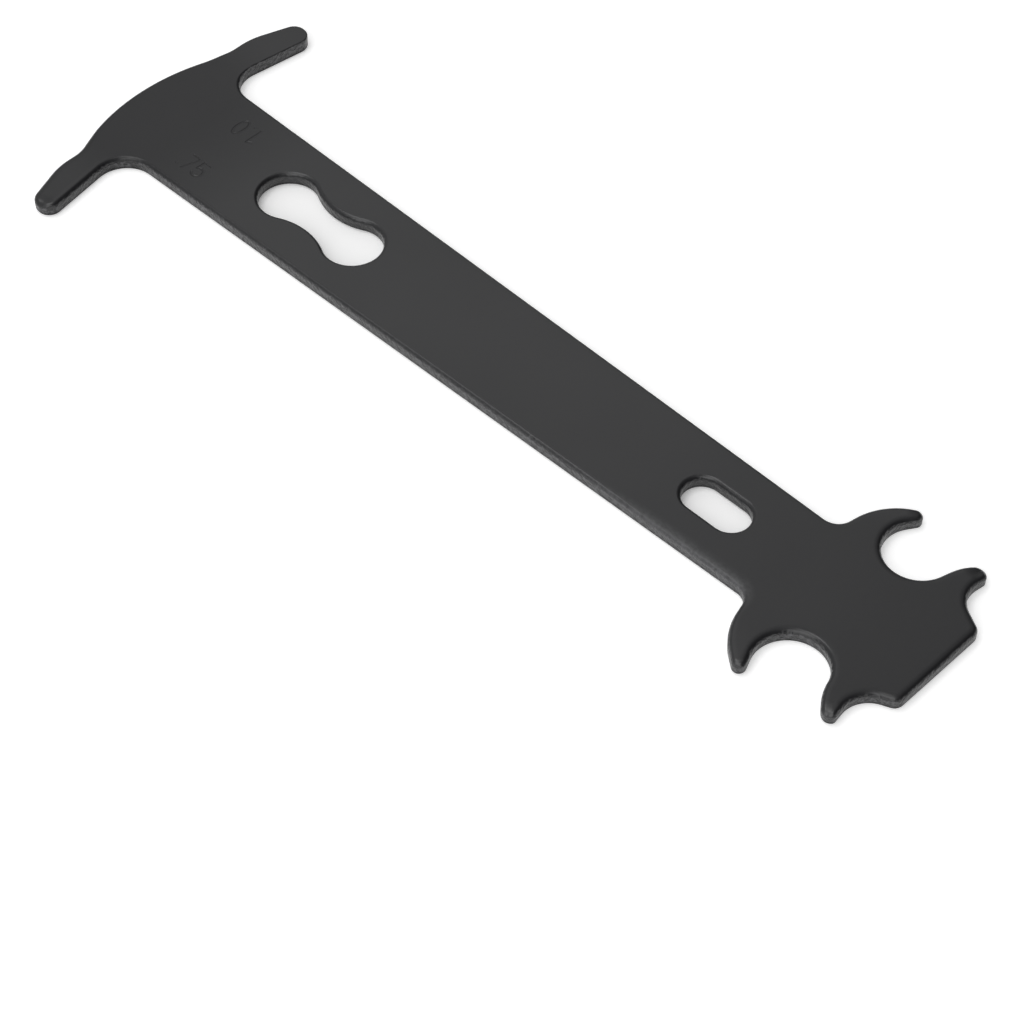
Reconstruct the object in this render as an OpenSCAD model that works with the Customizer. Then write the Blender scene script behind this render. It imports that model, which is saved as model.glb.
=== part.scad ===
// A chain wear gauge: one steel plate with a hammer-shaped head, a tapered bar and a hooked tail.
// A hook at the tail seats on a chain roller, and the arm on the same side drops between two rollers
// further along once the chain has worn by the amount that is stamped on that side.
// X runs along the bar from the head to the tail, Y across it, and Z up through the plate.
// The plate lies on Z = 0 with the middle of its length over the origin. Sizes are in mm.

/* [Chain and wear] */
// Pitch of the chain that the gauge reads
chain_pitch = 12.7; // [12.5:0.1:12.9]
// Number of chain links between the hook and the arm
links = 9; // [8:1:11]
// Diameter of a chain roller
roller_d = 7.75; // [7.4:0.05:8]
// Wear in percent that is read on the side with the wide hook
low_wear = 0.75; // [0.5:0.05:0.9]
// Wear in percent that is read on the side with the narrow hook
high_wear = 1; // [0.9:0.05:1.2]

/* [Plate] */
// Thickness of the plate
plate_t = 1.9; // [1.5:0.1:3]
// Radius of the rolled edges on both faces
edge_r = 0.5; // [0.3:0.05:0.6]

/* [Head] */
// How far the curved back stands out past the gauge edges of the arms
back_rise = 2.7; // [2:0.1:3.5]
// Radius of the curved back
back_r = 27; // [24:1:34]
// Width of the head across both arm tips
head_w = 43.2; // [41:0.5:52]
// Width across the roots of the arms, where the curved back ends
arm_root_w = 24.4; // [22:0.5:26]
// Width across the outer ends of the straight gauge edges
gauge_edge_w = 31.5; // [30:0.5:34]
// Radius between the curved back and a gauge edge
arm_root_r = 5; // [2:0.5:6]
// Radius where a gauge edge turns back towards the arm's tip
arm_bend_r = 8.8; // [4:0.2:10]
// How far an arm leans back towards the bar at its tip
arm_lean = 2.1; // [1.5:0.1:2.8]
// Width of an arm where it meets the bar
arm_w = 3.3; // [2.8:0.05:4.5]
// Width of an arm at its tip
arm_tip_w = 3.2; // [2.8:0.1:4]
// Radius of the two corners of an arm's tip
arm_tip_r = 1.65; // [1:0.05:1.75]
// Radius of the inner corner between an arm and the bar
arm_fillet_r = 3.8; // [1.5:0.1:5]

/* [Bar] */
// Width of the bar where it meets the head
bar_head_w = 16.6; // [14:0.2:18]
// Width of the bar where it meets the hooks
bar_tail_w = 13.4; // [11:0.2:14]

/* [Figure-of-eight hole] */
// Diameter of its round ends
lobe_d = 7.26; // [6:0.1:8]
// Distance between the centres of its round ends
lobe_spacing = 11.1; // [9:0.25:13]
// Width of its waist
waist_w = 4.56; // [4.2:0.1:5.5]
// Distance from the gauge edge of the wide hook's side to the nearer round end
lobe_from_arm = 23.5; // [18:0.5:30]

/* [Slot] */
// Width of the slot
slot_w = 4.7; // [4.2:0.1:6]
// Distance between the centres of its round ends
slot_spacing = 4.1; // [2:0.1:8]
// Distance from the wide hook's seat back to the nearer round end
slot_from_seat = 13.65; // [11:0.25:20]

/* [Tail] */
// Distance from the wide hook's seat to the flat end of the tail
seat_to_end = 15.4; // [15:0.1:17]
// How much nearer to the head the narrow hook's seat lies
seat_lead = 0.1; // [0:0.01:0.3]
// Width across the tail between the floors of the two roller notches
floor_w = 13; // [11:0.2:13.6]
// Play round the roller in the wide hook's notch
low_notch_play = 0.75; // [0.3:0.05:1]
// Play round the roller in the narrow hook's notch
high_notch_play = 0.3; // [0.1:0.05:0.8]
// Width of the wide hook at its root
low_hook_w = 5.1; // [4.4:0.1:6]
// Width of the narrow hook at its root
high_hook_w = 4.3; // [4:0.05:5]
// How far the point of the wide hook overhangs its seat
low_hook_overhang = 1; // [0.8:0.05:1.8]
// How far the point of the narrow hook overhangs its seat
high_hook_overhang = 1.7; // [0.8:0.05:1.8]
// Width across the tips of the two hooks
hook_span = 30.25; // [29:0.25:33]
// Radius of the curved outer side of a hook
hook_back_r = 8; // [3:0.1:9]
// Radius of the inner corner between the bar and a hook
hook_fillet_r = 2.1; // [1:0.1:3]
// Radius of the two corners of a hook's tip
hook_tip_r = 1; // [0.7:0.05:1.1]
// Distance from the flat end back to the prong on the wide hook's side
low_prong_from_end = 4.15; // [3.5:0.05:4.4]
// Distance from the flat end back to the prong on the narrow hook's side
high_prong_from_end = 4.55; // [3.7:0.05:4.8]
// Distance from the axis to the tip of the end prong on the wide hook's side
low_prong_l = 12.4; // [12:0.05:13.5]
// Distance from the axis to the tip of the end prong on the narrow hook's side
high_prong_l = 12.65; // [12:0.05:13.5]
// Radius of a prong's curved side along the notch
prong_side_r = 8; // [4:0.5:10]
// Radius of a prong's tip on the side of the notch
prong_inner_r = 1.5; // [0.8:0.1:1.9]
// Radius of a prong's tip on the side of the flat end
prong_outer_r = 0.8; // [0.65:0.05:1]
// Distance from the axis to the root of the end prong on the wide hook's side
low_prong_root = 8.3; // [7.5:0.05:9.2]
// Distance from the axis to the root of the end prong on the narrow hook's side
high_prong_root = 9; // [7.5:0.05:9.2]
// Radius of the hollow between an end prong and the flat end
hollow_r = 3.5; // [2.5:0.1:4]
// Width of the flat end
end_w = 13.1; // [11:0.1:14]
// Radius of the two corners of the flat end
end_r = 1.3; // [0.7:0.05:2]

/* [Hidden] */

// Largest gap between an arc and the straight steps that draw it, the steps across a rolled edge, and
// how far a rim reaches into the flat core, so that the two make one solid
arc_gap = 0.01;
edge_steps = 4;
rim_lap = 0.04;

// Distance from a hook's seat to the gauge edge on the same side, for a chain worn by that much
function gauge_length(wear) = links * chain_pitch * (1 + wear / 100) - roller_d;

// Places along X, first from the wide hook's seat and then from the middle of the plate's length
low_arm = -gauge_length(low_wear);
high_arm = -seat_lead - gauge_length(high_wear);
back_x = (low_arm + high_arm) / 2 - back_rise;
middle = (back_x + seat_to_end) / 2;
end_x = seat_to_end - middle;
slot_x = -slot_from_seat - middle;
lobe_x = low_arm + lobe_from_arm - middle;

// A hook's shape: how far its back's corner lies in from its root and down from its tip, and how far
// its tip lies behind its point and above it
low_hook_shape = [1.4, 3, 0.8, 1.1];
high_hook_shape = [1.05, 2.7, 1.05, 0.8];

// A prong's shape: how far its tip leans over, how far its point lies from the tip along X and Y, and
// how far its side's corner lies from the point along X and Y
low_prong_shape = [0.6, 0.9, 1.15, 2.1, 2.25];
high_prong_shape = [0.6, 1.05, 1.6, 1.95, 2.6];

function unit(v) = v / norm(v);
function left_of(v) = [-v.y, v.x];
function at_angle(c, r, a) = c + r * [cos(a), sin(a)];

// Angle on a circle where a line from point p touches it, on the left or the right as seen from p
function touch_angle(c, r, p, side) = let (d = p - c) atan2(d.y, d.x) + side * acos(r / norm(d));

// Corner of a circle's arc between two angles, as [x, y, radius]: the tangents at its ends meet there
function arc_corner(c, r, a0, a1) =
    let (p = at_angle(c, r / cos((a1 - a0) / 2), (a0 + a1) / 2))
    [p.x, p.y, r];

// One side of the outline from the head to the tail, as corners [x, y, radius], for Y above 0
function side_corners(seat, arm, notch_d, hook_w, overhang, hook, prong_from_end, prong_root, prong_l, prong) =
    let (
        back_c = [back_x - middle + back_r, 0],
        root = [arm, arm_root_w / 2],
        back_angle = touch_angle(back_c, back_r, root, 1),
        tip_y = head_w / 2,
        notch_r = notch_d / 2,
        notch_c = [seat + notch_r, floor_w / 2 + notch_r],
        hook_tip = [seat + overhang - hook[2], hook_span / 2],
        hook_point = [seat + overhang, hook_tip.y - hook[3]],
        prong_x = end_x - prong_from_end,
        prong_tip = [prong_x + prong[0], prong_l],
        prong_point = [prong_tip.x - prong[1], prong_tip.y + prong[2]],
        prong_side = [prong_point.x - prong[3], prong_point.y - prong[4]]
    )
    [
        arc_corner(back_c, back_r, 180, back_angle),
        [root.x, root.y, arm_root_r],
        [arm, gauge_edge_w / 2, arm_bend_r],
        [arm + arm_lean, tip_y, arm_tip_r],
        [arm + arm_lean + arm_tip_w, tip_y, arm_tip_r],
        [arm + arm_w, bar_head_w / 2, arm_fillet_r],
        [seat - hook_w, bar_tail_w / 2, hook_fillet_r],
        [seat - hook_w + hook[0], hook_tip.y - hook[1], hook_back_r],
        [hook_tip.x, hook_tip.y, hook_tip_r],
        [hook_point.x, hook_point.y, hook_tip_r],
        arc_corner(notch_c, notch_r, touch_angle(notch_c, notch_r, hook_point, 1), 270),
        arc_corner(notch_c, notch_r, 270, 360 + touch_angle(notch_c, notch_r, prong_side, -1)),
        [prong_side.x, prong_side.y, prong_side_r],
        [prong_point.x, prong_point.y, prong_inner_r],
        [prong_tip.x, prong_tip.y, prong_outer_r],
        [prong_x, prong_root, hollow_r],
        [end_x, end_w / 2, end_r]
    ];

function mirrored(corners) = [for (c = corners) [c.x, -c.y, c.z]];
function reversed(list) = [for (i = [len(list) - 1:-1:0]) list[i]];

// Whole outline, anticlockwise: the wide hook's side below the axis and the narrow hook's side above
outline_corners = concat(
    mirrored(side_corners(-middle, low_arm - middle, roller_d + low_notch_play, low_hook_w,
        low_hook_overhang, low_hook_shape, low_prong_from_end, low_prong_root, low_prong_l, low_prong_shape)),
    reversed(side_corners(-seat_lead - middle, high_arm - middle, roller_d + high_notch_play, high_hook_w,
        high_hook_overhang, high_hook_shape, high_prong_from_end, high_prong_root, high_prong_l, high_prong_shape))
);

// Slot: a rectangle whose corners are rounded by half its width
slot_corners = [
    for (s = [[-1, -1], [1, -1], [1, 1], [-1, 1]])
        [slot_x + s.x * (slot_spacing + slot_w) / 2 - slot_spacing / 2, s.y * slot_w / 2, slot_w / 2]
];

// Figure-of-eight hole: two round ends joined by a waist whose arcs touch both of them
lobe_r = lobe_d / 2;
lobe_half = lobe_spacing / 2;
waist_r = (lobe_half ^ 2 + (waist_w / 2) ^ 2 - lobe_r ^ 2) / (lobe_d - waist_w);
waist_c = [lobe_x + lobe_half, waist_w / 2 + waist_r];
waist_angle = atan2(waist_c.y, lobe_half);
function lobe_corners(x, turn) = [
    for (a = [-1, 1])
        arc_corner([x, 0], lobe_r, turn + (a < 0 ? waist_angle - 180 : 0), turn + (a < 0 ? 0 : 180 - waist_angle))
];
function waist_corner(side) =
    arc_corner([waist_c.x, side * waist_c.y], waist_r, side * -90 - side * (90 - waist_angle),
        side * -90 + side * (90 - waist_angle));
eight_corners = concat(
    [waist_corner(-1)],
    lobe_corners(lobe_x + lobe_spacing, 0),
    [waist_corner(1)],
    lobe_corners(lobe_x, 180)
);

// Closed path of points with outward normals, [x, y, normal x, normal y], for rounded corners
// listed anticlockwise. Where two fillets need more than the side between them, both shrink to fit it.
function path(corners) =
    let (
        n = len(corners),
        flat = [for (c = corners) [c.x, c.y]],
        side = [for (i = [0:n - 1]) flat[(i + 1) % n] - flat[i]],
        turn = [
            for (i = [0:n - 1])
                let (u = side[(i + n - 1) % n], v = side[i])
                atan2(u.x * v.y - u.y * v.x, u * v)
        ],
        reach = [for (i = [0:n - 1]) corners[i].z * tan(abs(turn[i]) / 2)],
        share = [for (i = [0:n - 1]) min(1, norm(side[i]) / (reach[i] + reach[(i + 1) % n]))]
    )
    [
        for (i = [0:n - 1])
            let (
                r = corners[i].z * min(share[i], share[(i + n - 1) % n]),
                u = unit(side[(i + n - 1) % n]),
                out = -left_of(u),
                convex = sign(turn[i]),
                centre = flat[i] - u * r * tan(abs(turn[i]) / 2) - convex * r * out,
                steps = max(2, ceil(abs(turn[i]) / (2 * acos(1 - arc_gap / max(r, 4 * arc_gap)))))
            )
            for (k = [0:steps])
                let (a = atan2(out.y, out.x) + turn[i] * k / steps, away = [cos(a), sin(a)])
                let (p = centre + convex * r * away)
                [p.x, p.y, away.x, away.y]
    ];

// Path without the points that repeat the one before them
function tidy(path) = [
    for (i = [0:len(path) - 1])
        let (q = path[(i + len(path) - 1) % len(path)], p = path[i])
        if (norm([p.x - q.x, p.y - q.y]) > arc_gap) p
];

outer = tidy(path(outline_corners));
slot = tidy(path(slot_corners));
eight = tidy(path(eight_corners));

// Points of a path moved along its normals
function moved(path, d) = [for (p = path) [p.x + d * p[2], p.y + d * p[3]]];

// Half section of the rolled edge from the underside to the top, as [distance in from the wall, height]
rolled_edge = concat(
    [[edge_r + rim_lap, 0]],
    [for (k = [0:edge_steps]) edge_r * [1 - sin(90 * k / edge_steps), 1 - cos(90 * k / edge_steps)]],
    [
        for (k = [0:edge_steps])
            [edge_r * (1 - cos(90 * k / edge_steps)), plate_t - edge_r * (1 - sin(90 * k / edge_steps))]
    ],
    [[edge_r + rim_lap, plate_t]]
);

// Closed rim along a path: the rolled edge's section carried round it, with a flat inner wall.
// side is 1 for the plate's own edge and -1 for the edge of a hole.
module rim(path, side) {
    n = len(path);
    m = len(rolled_edge);
    points = [
        for (p = path, e = rolled_edge)
            [p.x - side * e.x * p[2], p.y - side * e.x * p[3], e.y]
    ];
    faces = [
        for (i = [0:n - 1], j = [0:m - 1])
            let (
                a = i * m + j,
                b = i * m + (j + 1) % m,
                c = ((i + 1) % n) * m + (j + 1) % m,
                d = ((i + 1) % n) * m + j
            )
            side > 0 ? [a, b, c, d] : [d, c, b, a]
    ];
    polyhedron(points, faces);
}

// The plate: its flat core between the rolled edges, and a rim round the outside and round each hole
module gauge_plate() {
    color("#3f3f40") {
        linear_extrude(plate_t) {
            difference() {
                polygon(moved(outer, -edge_r));
                polygon(moved(slot, edge_r));
                polygon(moved(eight, edge_r));
            }
        }
        rim(outer, 1);
        rim(slot, -1);
        rim(eight, -1);
    }
}

gauge_plate();
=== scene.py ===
import math

import bpy
import numpy as np
from mathutils import Matrix, Vector
from mathutils.geometry import delaunay_2d_cdt


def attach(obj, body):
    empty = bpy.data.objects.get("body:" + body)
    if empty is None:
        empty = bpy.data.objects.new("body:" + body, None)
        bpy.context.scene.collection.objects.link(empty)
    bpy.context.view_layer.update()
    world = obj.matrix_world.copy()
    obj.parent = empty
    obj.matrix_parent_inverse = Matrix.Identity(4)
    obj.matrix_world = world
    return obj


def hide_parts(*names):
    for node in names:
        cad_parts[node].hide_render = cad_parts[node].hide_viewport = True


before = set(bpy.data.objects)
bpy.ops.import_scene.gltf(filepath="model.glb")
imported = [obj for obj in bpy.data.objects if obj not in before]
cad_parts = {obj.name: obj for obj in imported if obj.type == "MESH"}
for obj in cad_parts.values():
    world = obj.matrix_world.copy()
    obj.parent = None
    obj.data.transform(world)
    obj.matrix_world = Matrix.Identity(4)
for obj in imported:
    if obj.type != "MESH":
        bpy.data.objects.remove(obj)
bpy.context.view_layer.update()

# ---------------------------------------------------------------------------------------------
# The gauge plate: one piece of 1.9 mm steel sheet, blanked in a press that drags its upper edges
# down into a soft roll, then stamped with two numbers and dipped in black paint, which is baked on.
# It lies loose on the paper. Sizes are in millimetres, and turn to metres in the mesh.
# ---------------------------------------------------------------------------------------------
chain_pitch = 12.7
links = 9
roller = 7.75
low_wear = 0.75
high_wear = 1.0
plate_thick = 1.9
edge_round = 0.5

back_rise = 2.7
back_radius = 27.0
head_width = 43.2
arm_root_width = 24.4
gauge_edge_width = 31.5
arm_width = 3.3
arm_lean = 2.1
arm_tip_width = 3.2
bar_head_width = 16.6
bar_tail_width = 13.4
seat_to_end = 15.4
seat_lead = 0.1
hook_span = 30.25

low_arm = -(links * chain_pitch * (1 + low_wear / 100) - roller)
high_arm = -seat_lead - (links * chain_pitch * (1 + high_wear / 100) - roller)
back_x = (low_arm + high_arm) / 2 - back_rise
middle = (back_x + seat_to_end) / 2
end_x = seat_to_end - middle


def point_at(centre, radius, angle):
    """The point of a circle at an angle in degrees."""
    turn = np.radians(angle)
    return np.array(centre) + radius * np.array([np.cos(turn), np.sin(turn)])


def touch_angle(centre, radius, point, side):
    """The angle on a circle where a line from a point touches it: the direction of the point, plus or
    minus the arc cosine of radius over distance."""
    away = np.array(point) - np.array(centre)
    return math.degrees(math.atan2(away[1], away[0]) + side * math.acos(radius / np.hypot(*away)))


def arc_corner(centre, radius, start, stop):
    """The corner (x, y, radius) that a rounding turns into the circle's arc from start to stop: it lies
    at radius / cos(half the arc) on the line through the arc's middle."""
    x, y = point_at(centre, radius / math.cos(math.radians(stop - start) / 2), (start + stop) / 2)
    return (x, y, radius)


def side_corners(seat, arm, notch, hook_root, overhang, hook, prong_from_end, prong_root, prong_tip, prong):
    """One side of the outline, from the curved back to the flat end, as corners (x, y, radius). hook
    and prong hold how far their corners lie from one another along x and y."""
    back_centre = (back_x - middle + back_radius, 0.0)
    notch_radius = notch / 2
    notch_centre = (seat + notch_radius, 6.5 + notch_radius)
    hook_tip = (seat + overhang - hook[2], hook_span / 2)
    hook_point = (seat + overhang, hook_span / 2 - hook[3])
    prong_x = end_x - prong_from_end
    prong_point = (prong_x + prong[0] - prong[1], prong_tip + prong[2])
    prong_side = (prong_point[0] - prong[3], prong_point[1] - prong[4])
    to_hook = touch_angle(notch_centre, notch_radius, hook_point, 1)
    to_prong = 360 + touch_angle(notch_centre, notch_radius, prong_side, -1)
    to_root = touch_angle(back_centre, back_radius, (arm, arm_root_width / 2), 1)
    return [
        arc_corner(back_centre, back_radius, 180, to_root),
        (arm, arm_root_width / 2, 5.0),
        (arm, gauge_edge_width / 2, 8.8),
        (arm + arm_lean, head_width / 2, 1.65),
        (arm + arm_lean + arm_tip_width, head_width / 2, 1.65),
        (arm + arm_width, bar_head_width / 2, 3.8),
        (seat - hook_root, bar_tail_width / 2, 2.1),
        (seat - hook_root + hook[0], hook_span / 2 - hook[1], 8.0),
        (*hook_tip, 1.0),
        (*hook_point, 1.0),
        arc_corner(notch_centre, notch_radius, to_hook, 270),
        arc_corner(notch_centre, notch_radius, 270, to_prong),
        (*prong_side, 8.0),
        (*prong_point, 1.5),
        (prong_x + prong[0], prong_tip, 0.8),
        (prong_x, prong_root, 3.5),
        (end_x, 6.55, 1.3),
    ]


def rounded_path(corners, spacing):
    """Corners (x, y, radius), anticlockwise, as a closed row of points (x, y, normal x, normal y). Each
    corner becomes the arc that touches both its sides, radius * tan(half the turn) from it. Where two
    arcs need more than the side between them, both shrink to fit it."""
    corners = np.array(corners, float)
    place, radius = corners[:, :2], corners[:, 2]
    side = np.roll(place, -1, 0) - place
    length = np.hypot(*side.T)
    ahead = side / length[:, None]
    behind = np.roll(ahead, 1, 0)
    turn = np.arctan2(
        behind[:, 0] * ahead[:, 1] - behind[:, 1] * ahead[:, 0], (behind * ahead).sum(1)
    )
    reach = radius * np.tan(abs(turn) / 2)
    share = np.minimum(1, length / (reach + np.roll(reach, -1)))
    radius = radius * np.minimum(share, np.roll(share, 1))
    reach = radius * np.tan(abs(turn) / 2)
    outward = np.stack([behind[:, 1], -behind[:, 0]], 1)
    convex = np.sign(turn)
    centre = place - behind * reach[:, None] - (convex * radius)[:, None] * outward
    start = np.arctan2(outward[:, 1], outward[:, 0])
    rows = []
    for i in range(len(corners)):
        steps = max(3, math.ceil(abs(turn[i]) * max(radius[i] / spacing, 9)))
        angle = start[i] + turn[i] * np.arange(steps) / steps
        normal = np.stack([np.cos(angle), np.sin(angle)], 1)
        arc = centre[i] + convex[i] * radius[i] * normal
        rows.append(np.hstack([arc, normal]))
        left = length[i] - reach[i] - np.roll(reach, -1)[i]
        if left > 1e-6:
            steps = math.ceil(left / (3 * spacing))
            along = reach[i] + left * np.arange(steps)[:, None] / steps
            normal = np.tile([ahead[i, 1], -ahead[i, 0]], (steps, 1))
            rows.append(np.hstack([place[i] + ahead[i] * along, normal]))
    return np.vstack(rows)


low_hook, low_prong = (1.4, 3.0, 0.8, 1.1), (0.6, 0.9, 1.15, 2.1, 2.25)
high_hook, high_prong = (1.05, 2.7, 1.05, 0.8), (0.6, 1.05, 1.6, 1.95, 2.6)
low_side = side_corners(
    -middle, low_arm - middle, roller + 0.75, 5.1, 1.0, low_hook, 4.15, 8.3, 12.4, low_prong
)
high_side = side_corners(
    -seat_lead - middle, high_arm - middle, roller + 0.3, 4.3, 1.7, high_hook, 4.55, 9.0, 12.65, high_prong
)
outline = rounded_path([(x, -y, r) for x, y, r in low_side] + high_side[::-1], 0.16)

# The slot near the tail is a punched hole with round ends, 4.7 mm wide
slot_x = -13.65 - middle
slot_edge = rounded_path(
    [(slot_x + sx * 4.4 - 2.05, sy * 2.35, 2.35) for sx, sy in ((-1, -1), (1, -1), (1, 1), (-1, 1))], 0.16
)

# The figure-of-eight hole near the head: two 7.26 mm holes joined by a waist whose arcs touch both
lobe, half_spacing, waist = 3.63, 5.55, 2.28
lobe_x = low_arm + 23.5 - middle
waist_radius = (half_spacing**2 + waist**2 - lobe**2) / (2 * (lobe - waist))
waist_y = waist + waist_radius
lean = math.degrees(math.atan2(waist_y, half_spacing))
eight_edge = rounded_path(
    [
        arc_corner((lobe_x + half_spacing, -waist_y), waist_radius, lean, 180 - lean),
        arc_corner((lobe_x + 2 * half_spacing, 0), lobe, lean - 180, 0),
        arc_corner((lobe_x + 2 * half_spacing, 0), lobe, 0, 180 - lean),
        arc_corner((lobe_x + half_spacing, waist_y), waist_radius, -lean, lean - 180),
        arc_corner((lobe_x, 0), lobe, lean, 180),
        arc_corner((lobe_x, 0), lobe, 180, 360 - lean),
    ],
    0.16,
)


def free_inside(path, side):
    """How far in from each point p of a path the plate is free of its other points q: the radius of the
    largest circle that touches p from inside, the least |q - p|^2 / (2 * inward . (q - p))."""
    apart = path[None, :, :2] - path[:, None, :2]
    inward = (apart * -side * path[:, None, 2:4]).sum(-1)
    with np.errstate(divide="ignore"):
        radius = np.where(inward > 1e-9, (apart**2).sum(-1) / (2 * np.maximum(inward, 1e-12)), 9.0)
    return radius.min(1)


def ripple(along, across, seed):
    """A smooth uneven value about 0, of size about 1: a sum of eight sine waves over the two
    parameters, with wavelengths from 1 to 9 mm and phases from a fixed seed."""
    dice = np.random.default_rng(seed)
    waves = dice.uniform(0.7, 6.0, (8, 2)) * dice.choice([-1, 1], (8, 2))
    phase = dice.uniform(0, 2 * np.pi, 8)
    return sum(np.sin(a * along + b * across + p) for (a, b), p in zip(waves, phase)) / 2.5


def pressed_edge(path, side, sink, reach, corner):
    """The blanked edge carried along a path, as a grid of points (along the path, down the section).
    The top face dips towards it by sink * (1 - in / reach)^2, turns down round a quarter circle of
    radius corner, runs down the sheared wall, which stands back by up to 0.03 mm where the metal broke,
    and turns in under the plate. side is 1 round the plate and -1 round a hole."""
    share = np.linspace(0, 1, 6)[:-1]
    turn = np.radians(np.linspace(0, 90, 10))
    wall = np.linspace(0, 1, 9)[1:-1]
    one = np.ones((len(path), 1))
    reach, sink, corner = reach[:, None], sink[:, None], corner[:, None]
    near = np.hstack(
        [
            reach + 0.035,
            reach + (corner - reach) * share,
            corner * (1 - np.sin(turn)),
            one * 0 * wall,
            one * edge_round * (1 - np.cos(turn)),
            one * (edge_round + 0.035),
        ]
    )
    dip = sink * np.clip(1 - near / reach, 0, 1) ** 2
    wall_top = plate_thick - corner - sink
    height = np.hstack(
        [
            plate_thick - dip[:, :6],
            plate_thick - corner * (1 - np.cos(turn)) - dip[:, 6:16],
            wall_top + (edge_round - wall_top) * wall,
            one * edge_round * (1 - np.sin(turn)),
            one * 0,
        ]
    )
    along = np.cumsum(np.hypot(*(path[:, :2] - np.roll(path[:, :2], 1, 0)).T))[:, None]
    broken = np.clip((1.25 - height) / 0.3, 0, 1) * np.clip((height - 0.2) / 0.3, 0, 1)
    near = near + broken * (0.018 + 0.008 * ripple(along, 2 * height, 3))
    flat = path[:, None, :2] - side * near[:, :, None] * path[:, None, 2:4]
    return np.dstack([flat, height])


def grid_faces(count, rows, first, outward):
    """Quads between neighbouring points of a grid that closes on itself along its first parameter."""
    i, j = np.meshgrid(np.arange(count), np.arange(rows - 1), indexing="ij")
    a, b = i * rows + j, i * rows + j + 1
    k = (i + 1) % count
    c, d = k * rows + j + 1, k * rows + j
    quads = np.stack([a, b, c, d] if outward else [d, c, b, a], -1).reshape(-1, 4)
    return quads + first


# The stamped numbers: single strokes, 2.5 mm high, cut by a fine engraved punch. Each figure is a list
# of points (right, up) from its own foot; the arcs are worked out from their centre and radius.
turns = np.linspace(0, 360, 49)
bowl = np.linspace(140, -150, 37)
figure_zero = [(0.6 + 0.6 * np.cos(np.radians(turns)), 1.29 + 1.29 * np.sin(np.radians(turns)))]
figure_one = [([0.0, 0.58, 0.58], [2.2, 2.56, 0.0])]
figure_seven = [([0.0, 1.3, 0.4], [2.5, 2.5, 0.0])]
figure_five = [
    (
        np.concatenate([[1.08, 0.02, -0.05], 0.5 + 0.72 * np.cos(np.radians(bowl))]),
        np.concatenate([[2.5, 2.5, 1.21], 0.73 + 0.72 * np.sin(np.radians(bowl))]),
    )
]
figure_point = [([0.0, 0.04], [0.12, 0.12])]


def stamped(figures, foot, flip):
    """Strokes of a number as line pieces (x0, y0, x1, y1): each figure's points are moved right by its
    place in the number, and turned half a turn if the number is read from the other side."""
    pieces = []
    for strokes, right in figures:
        for x, y in strokes:
            line = np.stack([np.array(x) + right, np.array(y)], 1) * (-1 if flip else 1) + foot
            pieces.append(np.hstack([line[:-1], line[1:]]))
    return np.vstack(pieces)


def stroke_distance(x, y, pieces):
    """Distance from each point to the nearest line piece: the point's projection on the piece is held
    between its two ends, and the least distance over all the pieces is kept."""
    start, run = pieces[:, :2], pieces[:, 2:] - pieces[:, :2]
    away = np.stack([x, y], -1)[..., None, :] - start
    share = np.clip((away * run).sum(-1) / (run**2).sum(-1), 0, 1)
    return np.sqrt(((away - share[..., None] * run) ** 2).sum(-1)).min(-1)


low_number = stamped(
    [(figure_point, 0.0), (figure_seven, 0.62), (figure_five, 2.56)], (-50.16, -5.65), False
)
high_number = stamped(
    [(figure_one, 0.0), (figure_point, 1.58), (figure_zero, 2.32)], (-46.27, 5.28), True
)


def number_patch(left, right, low, high, pieces, step=0.05):
    """A grid of the top face round a number. The punch's groove is a cosine valley, 0.05 mm deep at a
    stroke's middle line and 0.18 mm to each side of it."""
    x = np.linspace(left, right, round((right - left) / step) + 1)
    y = np.linspace(low, high, round((high - low) / step) + 1)
    x, y = np.meshgrid(x, y, indexing="ij")
    near = np.clip(stroke_distance(x, y, pieces) / 0.18, 0, 1)
    return np.dstack([x, y, plate_thick - 0.025 * (1 + np.cos(np.pi * near))])


def patch_faces(shape, first):
    """Quads of an open grid, facing up."""
    i, j = np.meshgrid(np.arange(shape[0] - 1), np.arange(shape[1] - 1), indexing="ij")
    a = i * shape[1] + j
    quads = np.stack([a, a + shape[1], a + shape[1] + 1, a + 1], -1).reshape(-1, 4)
    return quads + first


def patch_border(shape, first):
    """Indices of an open grid's border, anticlockwise."""
    index = np.arange(shape[0] * shape[1]).reshape(shape[:2]) + first
    return np.concatenate([index[:, 0], index[-1, 1:], index[-2::-1, -1], index[0, -2:0:-1]])


def flat_faces(points, loops, up):
    """Triangles that fill the first loop and leave the others open: a constrained Delaunay mesh of all
    the loops, of which the triangles stay that lie in the first loop and in no other."""
    index = np.concatenate(loops)
    flat = points[index, :2]
    sizes = np.cumsum([0] + [len(loop) for loop in loops])
    areas = [[*range(first, last)] for first, last in zip(sizes[:-1], sizes[1:])]
    made = delaunay_2d_cdt([Vector(p) for p in flat.tolist()], [], areas, 1, 1e-7)
    home = np.array([ids[0] for ids in made[3]])
    keep = np.array([list(areas_of) == [0] for areas_of in made[5]])
    triangles = home[np.array(made[2])][keep]
    a, b, c = flat[triangles[:, 0]], flat[triangles[:, 1]], flat[triangles[:, 2]]
    turn = (b[:, 0] - a[:, 0]) * (c[:, 1] - a[:, 1]) - (b[:, 1] - a[:, 1]) * (c[:, 0] - a[:, 0])
    if (turn.sum() > 0) != up:
        triangles = triangles[:, ::-1]
    return index[triangles]


def between(value, low, high):
    """0 below low, 1 above high, and a smooth step 3t^2 - 2t^3 from one to the other."""
    t = np.clip((value - low) / (high - low), 0, 1)
    return t * t * (3 - 2 * t)


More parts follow.
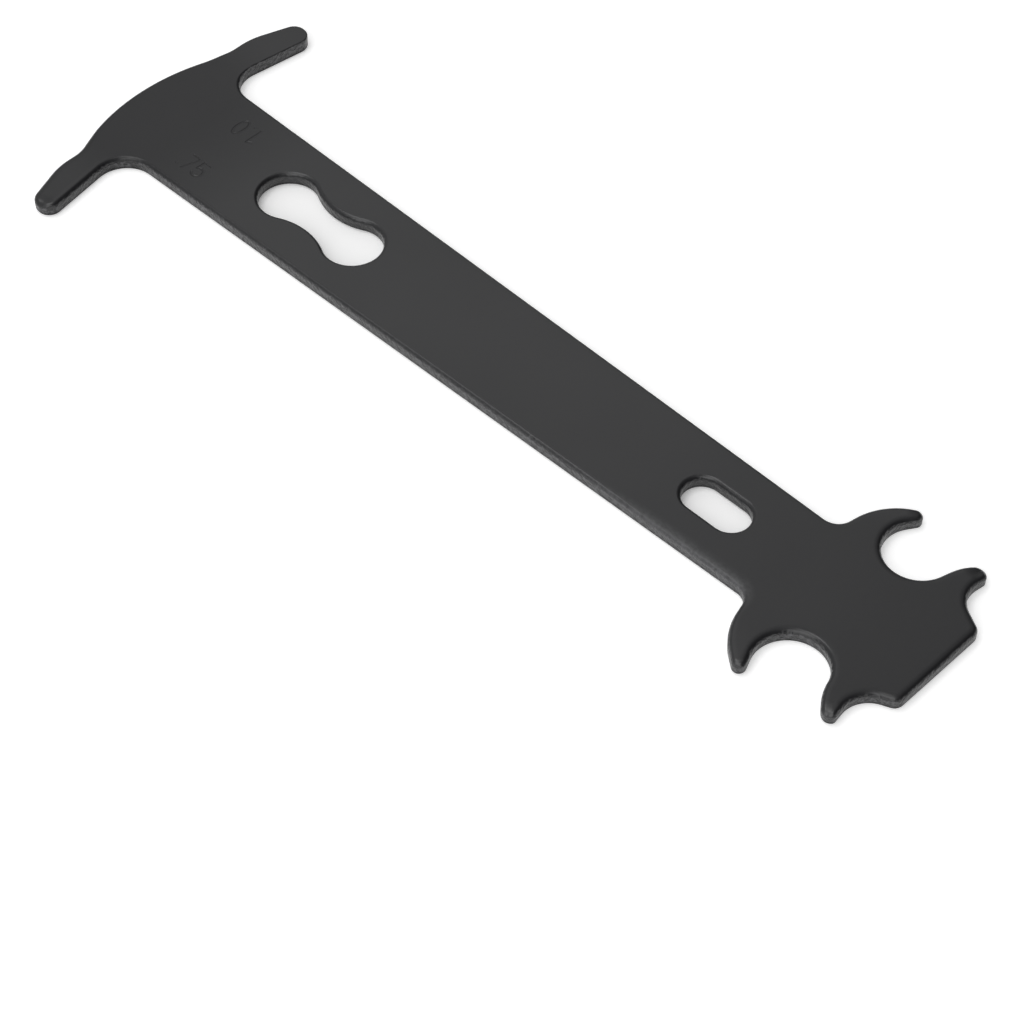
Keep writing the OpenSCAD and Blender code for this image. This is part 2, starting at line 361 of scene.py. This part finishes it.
# The punch drags the top face down towards its edge, over a millimetre where the piece is narrow: at
# the arms, along the bar's end beside the slot, and most of all round the hooks and prongs
points, faces, tops, bottoms, sheared, painted_sheen = [], [], [], [], [], []
row = np.arange(34)
# Rows of the sheared wall, which the coat tears in its bump and greys in spots, partly as a painted
# reflection
torn_rows = np.minimum(between(row, 8, 15), 1 - between(row, 22, 29))
# Rows at the top edge, where a painted sheen is laid along the bar beside the slot
painted_sheen_rows = between(row, 0, 10) * (1 - between(row, 16, 24))
first = 0
for path, side in ((outline, 1), (slot_edge, -1), (eight_edge, -1)):
    x, y = path[:, 0], abs(path[:, 1])
    tail = between(x, 41, 44) * (side > 0)
    arms = between(y, 7.8, 10) * between(-x, 50, 51.5) * (path[:, 1] < 0) * (side > 0)
    bar = between(x, 14, 30) * between(-x, -44, -41) * between(-y, -9.5, -7) * (path[:, 1] < 0) * (side > 0)
    reach = np.minimum(0.56 + 0.36 * tail + 0.4 * arms + 0.9 * bar, 0.98 * free_inside(path, side) - 0.035)
    slope = 0.01 + 0.29 * tail + 0.25 * arms + 0.27 * bar + 0.15 * (side < 0)
    sharp = between(path[:, 1], 9, 12) * between(-x, 50, 51.5)
    grid = pressed_edge(path, side, slope * reach / 2, reach, 0.5 - 0.2 * bar - 0.35 * sharp)
    faces.append(grid_faces(len(path), grid.shape[1], first, side > 0))
    ring = first + np.arange(len(path)) * grid.shape[1]
    tops.append(ring)
    bottoms.append(ring + grid.shape[1] - 1)
    points.append(grid.reshape(-1, 3))
    # Per point: the sheared wall's weight (half in the holes), and the painted sheen along the bar
    sheared.append(np.tile(torn_rows * (1 if side > 0 else 0.5), len(path)))
    painted_sheen.append((bar[:, None] * painted_sheen_rows).ravel())
    first += grid.shape[0] * grid.shape[1]
for patch in (
    number_patch(-50.6, -45.9, -6.1, -2.7, low_number),
    number_patch(-50.3, -45.8, 2.2, 5.7, high_number),
):
    faces.append(patch_faces(patch.shape, first))
    tops.append(patch_border(patch.shape, first))
    points.append(patch.reshape(-1, 3))
    sheared.append(np.zeros(patch.shape[0] * patch.shape[1]))
    painted_sheen.append(np.zeros(patch.shape[0] * patch.shape[1]))
    first += patch.shape[0] * patch.shape[1]
points = np.vstack(points)
# Five of the tips bend down a little further: by 0.3 * (1 - distance / 2)^2 mm at the top face
for tip in ((48.1, -15.2), (58.5, -12.8), (48.4, 15.1), (57.8, 13.0), (-56.3, -21.6)):
    near = np.clip(1 - np.hypot(points[:, 0] - tip[0], points[:, 1] - tip[1]) / 2, 0, 1)
    points[:, 2] -= 0.3 * near**2 * np.clip((points[:, 2] - 0.5) / 1.2, 0, 1)
top = flat_faces(points, tops, True)
bottom = flat_faces(points, bottoms, False)
plate_mesh = bpy.data.meshes.new("blanked_plate")
plate_mesh.from_pydata(
    (points * 0.001).tolist(), [], np.vstack(faces).tolist() + top.tolist() + bottom.tolist()
)
plate_mesh.shade_smooth()
# The second attribute carries the painted sheen into the coat's colour
for name, values in (("sheared", sheared), ("painted_sheen", painted_sheen)):
    mark = plate_mesh.attributes.new(name, "FLOAT", "POINT")
    mark.data.foreach_set("value", np.concatenate(values).astype(np.float32))
blanked_plate = bpy.data.objects.new("blanked_plate", plate_mesh)
bpy.context.scene.collection.objects.link(blanked_plate)


def srgb(code):
    """A hex colour as linear red, green, blue and alpha."""
    parts = np.array([int(code[i : i + 2], 16) for i in (1, 3, 5)]) / 255
    linear = np.where(parts <= 0.04045, parts / 12.92, ((parts + 0.055) / 1.055) ** 2.4)
    return (*linear.tolist(), 1.0)


def add_node(tree, kind, settings=(), inputs=(), links=()):
    """Adds a shader node with its settings, its input values and the links into it."""
    node = tree.nodes.new(kind)
    for name, value in dict(settings).items():
        setattr(node, name, value)
    for name, value in dict(inputs).items():
        node.inputs[name].default_value = value
    for name, socket in dict(links).items():
        tree.links.new(socket, node.inputs[name])
    return node


# Black electro-coat: a baked paint film about 25 micrometres thick, satin, with a faint orange peel.
# It pulls back a little on the sheared wall, which goes grey and rougher in spots, partly its own grey
# and partly a painted reflection; a painted sheen lies in its colour along the bar beside the slot.
black_coat = bpy.data.materials.new("black_coated_steel")
black_coat.use_nodes = True
coat_tree = black_coat.node_tree
coat_tree.nodes.clear()
spot = add_node(coat_tree, "ShaderNodeTexCoord").outputs["Object"]
# Orange peel: bumps about 0.5 mm across, 1 micrometre high
peel = add_node(
    coat_tree, "ShaderNodeTexNoise", inputs={"Scale": 2000.0, "Detail": 2.0}, links={"Vector": spot}
)
# The sheared wall under the film is torn: grains about 0.5 mm across and 80 micrometres deep
torn = add_node(
    coat_tree, "ShaderNodeTexNoise", inputs={"Scale": 1900.0, "Detail": 4.0}, links={"Vector": spot}
).outputs["Fac"]
wall = add_node(coat_tree, "ShaderNodeAttribute", {"attribute_name": "sheared"}).outputs["Fac"]
# The painted sheen along the bar beside the slot
painted_sheen_mask = add_node(coat_tree, "ShaderNodeAttribute", {"attribute_name": "painted_sheen"}).outputs["Fac"]
tear = add_node(coat_tree, "ShaderNodeMath", {"operation": "SUBTRACT"}, {1: 0.5}, {0: torn})
tear = add_node(
    coat_tree, "ShaderNodeMath", {"operation": "MULTIPLY"}, links={0: tear.outputs[0], 1: wall}
)
relief = add_node(
    coat_tree,
    "ShaderNodeMath",
    {"operation": "MULTIPLY_ADD"},
    {1: 0.015},
    {0: peel.outputs["Fac"], 2: tear.outputs[0]},
)
bump = add_node(
    coat_tree,
    "ShaderNodeBump",
    inputs={"Strength": 1.0, "Distance": 0.0004},
    links={"Height": relief.outputs[0]},
)
# The film is thinner where the wall stands out most, and grey there in spots of about 0.5 mm, which
# leave the wall's upper border ragged. The grey is lighter than such a film alone: it is partly a painted
# reflection of the paper's light in the wall. Along the bar beside the slot a mottled grey is a painted
# sheen: the soft glow of the broad rolled edge there, painted into the colour.
thin_grey_and_painted_reflection = add_node(
    coat_tree, "ShaderNodeMath", {"operation": "MULTIPLY_ADD"}, {1: 0.3}, {0: wall, 2: torn}
)
thin_grey_and_painted_reflection = add_node(
    coat_tree,
    "ShaderNodeMapRange",
    inputs={"From Min": 0.8, "From Max": 0.92, "To Min": 0.0, "To Max": 1.0},
    links={"Value": thin_grey_and_painted_reflection.outputs[0]},
)
grey_and_painted_light = add_node(
    coat_tree,
    "ShaderNodeMapRange",
    inputs={"From Min": 0.3, "From Max": 0.7, "To Min": 0.2, "To Max": 0.8},
    links={"Value": torn},
)
grey_and_painted_light = add_node(
    coat_tree,
    "ShaderNodeMath",
    {"operation": "MULTIPLY_ADD", "use_clamp": True},
    links={0: grey_and_painted_light.outputs[0], 1: painted_sheen_mask, 2: thin_grey_and_painted_reflection.outputs[0]},
)
# Painted shade: the foot of the wall, up to 0.7 mm high, is held full black and its gloss weakened,
# for the shadow where the wall meets the paper
place = add_node(coat_tree, "ShaderNodeSeparateXYZ", links={0: spot}).outputs
foot = add_node(
    coat_tree,
    "ShaderNodeMapRange",
    inputs={"From Min": 0.0003, "From Max": 0.0007, "To Min": 0.1, "To Max": 1.0},
    links={"Value": place["Z"]},
)
grey_and_painted_light = add_node(
    coat_tree,
    "ShaderNodeMath",
    {"operation": "MULTIPLY"},
    links={0: grey_and_painted_light.outputs[0], 1: foot.outputs["Result"]},
).outputs[0]
# Grey #555557 over the black: the film's own grey on the wall lifted as a painted reflection, and the
# painted sheen along the bar
tone = add_node(
    coat_tree,
    "ShaderNodeMix",
    {"data_type": "RGBA"},
    {"A": srgb("#1d1d1f"), "B": srgb("#555557")},
    {"Factor": grey_and_painted_light},
)
# The film varies in gloss over about 20 mm, and is rougher where the grey above is mixed in: in the
# wall's spots and under the painted sheen along the bar
cloud = add_node(
    coat_tree, "ShaderNodeTexNoise", inputs={"Scale": 50.0, "Detail": 2.0}, links={"Vector": spot}
)
gloss = add_node(
    coat_tree,
    "ShaderNodeMapRange",
    inputs={"From Min": 0.3, "From Max": 0.7, "To Min": 0.29, "To Max": 0.34},
    links={"Value": cloud.outputs["Fac"]},
)
gloss = add_node(
    coat_tree,
    "ShaderNodeMath",
    {"operation": "MULTIPLY_ADD"},
    {1: 0.2},
    {0: grey_and_painted_light, 2: gloss.outputs["Result"]},
)
# The film shines most along the bar and out on the arms (beyond y = 10 mm). It is duller over the
# head (beyond x = -45 mm) and the tail (beyond x = 40 mm).
shine = add_node(
    coat_tree,
    "ShaderNodeMapRange",
    inputs={"From Min": -0.053, "From Max": -0.04, "To Min": 0.36, "To Max": 0.49},
    links={"Value": place["X"]},
)
shine_tail = add_node(
    coat_tree,
    "ShaderNodeMapRange",
    inputs={"From Min": 0.034, "From Max": 0.042, "To Min": 1.0, "To Max": 0.94},
    links={"Value": place["X"]},
)
shine = add_node(
    coat_tree,
    "ShaderNodeMath",
    {"operation": "MULTIPLY"},
    links={0: shine.outputs["Result"], 1: shine_tail.outputs["Result"]},
)
aside = add_node(coat_tree, "ShaderNodeMath", {"operation": "ABSOLUTE"}, links={0: place["Y"]})
shine_arm = add_node(
    coat_tree,
    "ShaderNodeMapRange",
    inputs={"From Min": 0.01, "From Max": 0.016, "To Min": 1.0, "To Max": 1.26},
    links={"Value": aside.outputs[0]},
)
shine = add_node(
    coat_tree,
    "ShaderNodeMath",
    {"operation": "MULTIPLY"},
    links={0: shine.outputs[0], 1: shine_arm.outputs["Result"]},
)
# Painted shade: the gloss is weakened at the foot of the wall, too
shine = add_node(
    coat_tree,
    "ShaderNodeMath",
    {"operation": "MULTIPLY"},
    links={0: shine.outputs[0], 1: foot.outputs["Result"]},
)
coat = add_node(
    coat_tree,
    "ShaderNodeBsdfPrincipled",
    inputs={"IOR": 1.58, "Metallic": 0.0},
    links={
        "Base Color": tone.outputs["Result"],
        "Roughness": gloss.outputs[0],
        "Specular IOR Level": shine.outputs[0],
        "Normal": bump.outputs["Normal"],
    },
)
add_node(coat_tree, "ShaderNodeOutputMaterial", links={"Surface": coat.outputs["BSDF"]})
plate_mesh.materials.append(black_coat)

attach(blanked_plate, "root")
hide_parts("gauge_plate")

# ---------------------------------------------------------------------------------------------
# The paper: a sheet of plain white paper on a table, which the gauge lies on. It is the floor of
# the picture and no part of the gauge.
# ---------------------------------------------------------------------------------------------
paper_mesh = bpy.data.meshes.new("paper")
paper_mesh.from_pydata(
    [(-1.5, -1.5, -0.00002), (1.5, -1.5, -0.00002), (1.5, 1.5, -0.00002), (-1.5, 1.5, -0.00002)],
    [],
    [(0, 1, 2, 3)],
)
paper = bpy.data.objects.new("paper", paper_mesh)
bpy.context.scene.collection.objects.link(paper)
# Matt white paper. To the camera it also glows a little, so that its open parts are plain white.
white_paper = bpy.data.materials.new("white_paper")
white_paper.use_nodes = True
paper_tree = white_paper.node_tree
paper_tree.nodes.clear()
ray = add_node(paper_tree, "ShaderNodeLightPath").outputs
seen = add_node(
    paper_tree,
    "ShaderNodeMath",
    {"operation": "ADD"},
    links={0: ray["Is Camera Ray"], 1: ray["Is Glossy Ray"]},
)
seen = add_node(
    paper_tree,
    "ShaderNodeMath",
    {"operation": "ADD", "use_clamp": True},
    links={0: seen.outputs[0], 1: ray["Is Transmission Ray"]},
)
# Painted shade in the holes: the glow is weaker within 5 mm of the bar's middle line, so that the paper
# in its holes stays greyer
apart = add_node(
    paper_tree,
    "ShaderNodeSeparateXYZ",
    links={0: add_node(paper_tree, "ShaderNodeTexCoord").outputs["Object"]},
)
beyond = add_node(
    paper_tree, "ShaderNodeMath", {"operation": "ABSOLUTE"}, links={0: apart.outputs["X"]}
)
beyond = add_node(
    paper_tree, "ShaderNodeMath", {"operation": "SUBTRACT"}, {1: 0.045}, {0: beyond.outputs[0]}
)
beside = add_node(
    paper_tree, "ShaderNodeMath", {"operation": "ABSOLUTE"}, links={0: apart.outputs["Y"]}
)
beside = add_node(
    paper_tree,
    "ShaderNodeMath",
    {"operation": "MAXIMUM"},
    links={0: beyond.outputs[0], 1: beside.outputs[0]},
)
beside = add_node(
    paper_tree,
    "ShaderNodeMapRange",
    {"interpolation_type": "SMOOTHSTEP"},
    {"From Min": 0.0042, "From Max": 0.0066, "To Min": 0.23, "To Max": 0.44},
    {"Value": beside.outputs[0]},
)
share = add_node(
    paper_tree,
    "ShaderNodeMath",
    {"operation": "MULTIPLY"},
    links={0: seen.outputs[0], 1: beside.outputs["Result"]},
)
matt = add_node(
    paper_tree, "ShaderNodeBsdfPrincipled", inputs={"Base Color": srgb("#F4F4F4"), "Roughness": 0.9}
)
glow = add_node(
    paper_tree,
    "ShaderNodeEmission",
    inputs={"Color": (1, 1, 1, 1)},
    links={"Strength": share.outputs[0]},
)
both = add_node(
    paper_tree, "ShaderNodeAddShader", links={0: matt.outputs["BSDF"], 1: glow.outputs["Emission"]}
)
add_node(paper_tree, "ShaderNodeOutputMaterial", links={"Surface": both.outputs["Shader"]})
paper_mesh.materials.append(white_paper)

# ---------------------------------------------------------------------------------------------
# Light: a large soft box overhead, a little towards the head, a dim one at the upper left of the
# picture, a wide one low in front, and a dim room that is darkest towards the right.
# ---------------------------------------------------------------------------------------------


def soft_box(name, place, size, strength):
    """A square lamp of one radiance that faces the plate. Its power is radiance * area * pi."""
    lamp = bpy.data.lights.new(name, "AREA")
    lamp.shape = "SQUARE"
    lamp.size = size
    lamp.energy = strength * size * size * math.pi
    box = bpy.data.objects.new(name, lamp)
    box.matrix_world = Matrix.Translation(place) @ Vector(place).to_track_quat("Z", "Y").to_matrix().to_4x4()
    bpy.context.scene.collection.objects.link(box)


soft_box("overhead_box", (-0.2, -0.12, 0.77), 0.4, 2.6)
soft_box("window_box", (-0.40, 0.42, 0.62), 0.4, 0.5)
soft_box("front_box", (0.22, -0.62, 0.5), 0.8, 1.8)

room = bpy.data.worlds.new("room")
bpy.context.scene.world = room
room.use_nodes = True
room_tree = room.node_tree
room_tree.nodes.clear()
way = add_node(room_tree, "ShaderNodeTexCoord").outputs["Generated"]
towards = add_node(
    room_tree, "ShaderNodeVectorMath", {"operation": "DOT_PRODUCT"}, {1: (-0.7, -0.4, 0.6)}, {0: way}
).outputs["Value"]
shade = add_node(
    room_tree,
    "ShaderNodeMapRange",
    {"interpolation_type": "SMOOTHSTEP"},
    {"From Min": -0.2, "From Max": 0.9, "To Min": 0.06, "To Max": 0.52},
    {"Value": towards},
).outputs["Result"]
sky = add_node(
    room_tree, "ShaderNodeBackground", inputs={"Color": (1, 1, 1, 1)}, links={"Strength": shade}
)
add_node(room_tree, "ShaderNodeOutputWorld", links={"Surface": sky.outputs["Background"]})

bpy.context.scene.view_settings.view_transform = "Standard"

# ---------------------------------------------------------------------------------------------
# Camera: the photograph's, from above the right-hand lower side, 50 degrees up.
# ---------------------------------------------------------------------------------------------
lens = bpy.data.cameras.new("camera")
lens.sensor_width = 36.0
lens.lens = 105.47
lens.clip_start = 0.01
lens.clip_end = 10.0
camera = bpy.data.objects.new("camera", lens)
turn, tilt = math.radians(44.55), math.radians(49.92)
look_back = Vector(
    (math.sin(turn) * math.cos(tilt), -math.cos(turn) * math.cos(tilt), math.sin(tilt))
)
look_right = Vector((math.cos(turn), math.sin(turn), 0))
look_up = look_back.cross(look_right)
camera.matrix_world = Matrix.Translation((0.162898, -0.164736, 0.249372)) @ (
    Matrix((look_right, look_up, look_back)).transposed().to_4x4()
)
bpy.context.scene.collection.objects.link(camera)
bpy.context.scene.camera = camera
